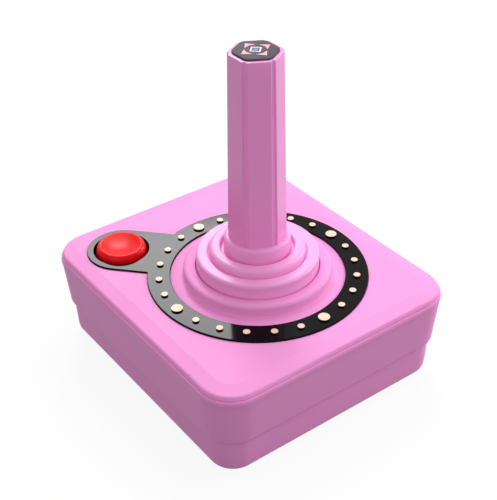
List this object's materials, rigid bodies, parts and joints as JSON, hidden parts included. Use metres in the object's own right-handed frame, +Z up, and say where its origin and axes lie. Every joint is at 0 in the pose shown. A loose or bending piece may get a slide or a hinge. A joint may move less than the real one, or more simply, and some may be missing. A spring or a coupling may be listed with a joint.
{
  "type": "joystick controller",
  "caption": "Boxy pink joystick controller with a six-sided grip on a stepped rubber boot, a studded black ring plate and a red fire button.",
  "frame": {"origin": "on the table under the middle of the casing", "axes": "+Z up along the stick, the player at -Y, +X to the player's right"},
  "size_m": [0.0914, 0.1013, 0.1116],
  "materials": {
    "casing": "fine satin, rose pink",
    "plate": "polished black",
    "stud": "polished black",
    "stud_top": "smooth, cream",
    "boot": "soft satin, rose pink",
    "grip": "soft satin, rose pink",
    "cap": "satin, dark grey",
    "inlay_pink": "printed, rose pink",
    "inlay_white": "printed, white",
    "inlay_blue": "printed, blue",
    "button": "polished red",
    "bracket": "moulded, dark grey",
    "gimbal": "moulded, pale grey",
    "core": "moulded, off-white",
    "steel": "zinc plated",
    "terminal": "tinned",
    "board": "green lacquer",
    "dome": "silicone, grey",
    "foot": "matte black",
    "bush": "matte black"
  },
  "bodies": {
    "housing": {"upper_casing": "casing", "lower_casing": "casing", "ring_plate": "plate", "small_studs": "stud", "small_stud_tops": "stud_top", "large_studs": "stud", "large_stud_tops": "stud_top", "boot_skirt": "boot", "boot_clamp_ring": "bracket", "gimbal_bracket": "bracket", "bracket_screws": "steel", "circuit_board": "board", "board_screws": "steel", "board_terminals": "terminal", "dome_front": "dome", "dome_back": "dome", "dome_left": "dome", "dome_right": "dome", "dome_fire": "dome", "cable_bush": "bush", "casing_screws": "steel", "foot_front_left": "foot", "foot_front_right": "foot", "foot_back_left": "foot", "foot_back_right": "foot", "button_guide": "bracket", "guide_screws": "steel", "button_spring": "steel"},
    "gimbal": {"gimbal_ring": "gimbal", "outer_pins": "steel", "inner_pins": "steel"},
    "stick": {"stick_core": "core", "grip_sleeve": "grip", "boot_neck": "boot", "actuator": "core", "actuator_screw": "steel", "cap_plate": "cap", "cap_arrows": "inlay_pink", "cap_frame": "inlay_white", "cap_diamond": "inlay_blue"},
    "button": {"fire_button": "button"}
  },
  "joints": [
    {"name": "tilt_front_back", "type": "hinge", "parent": "housing", "child": "gimbal", "pos_m": [0.0008, -0.00536, 0.027], "axis": [1, 0, 0], "range_deg": [-9, 9], "stiffness_Nm_per_rad": 1.5, "deforming": ["boot_skirt", "dome_front", "dome_back"]},
    {"name": "tilt_left_right", "type": "hinge", "parent": "gimbal", "child": "stick", "pos_m": [0.0008, -0.00536, 0.027], "axis": [0, 1, 0], "range_deg": [-9, 9], "stiffness_Nm_per_rad": 1.5, "deforming": ["boot_neck", "dome_left", "dome_right"]},
    {"name": "button_press", "type": "slide", "parent": "housing", "child": "button", "axis": [0, 0, -1], "range_m": [0, 0.0018], "stiffness_N_per_m": 600, "springref_m": -0.001, "deforming": ["dome_fire", "button_spring"]}
  ]
}
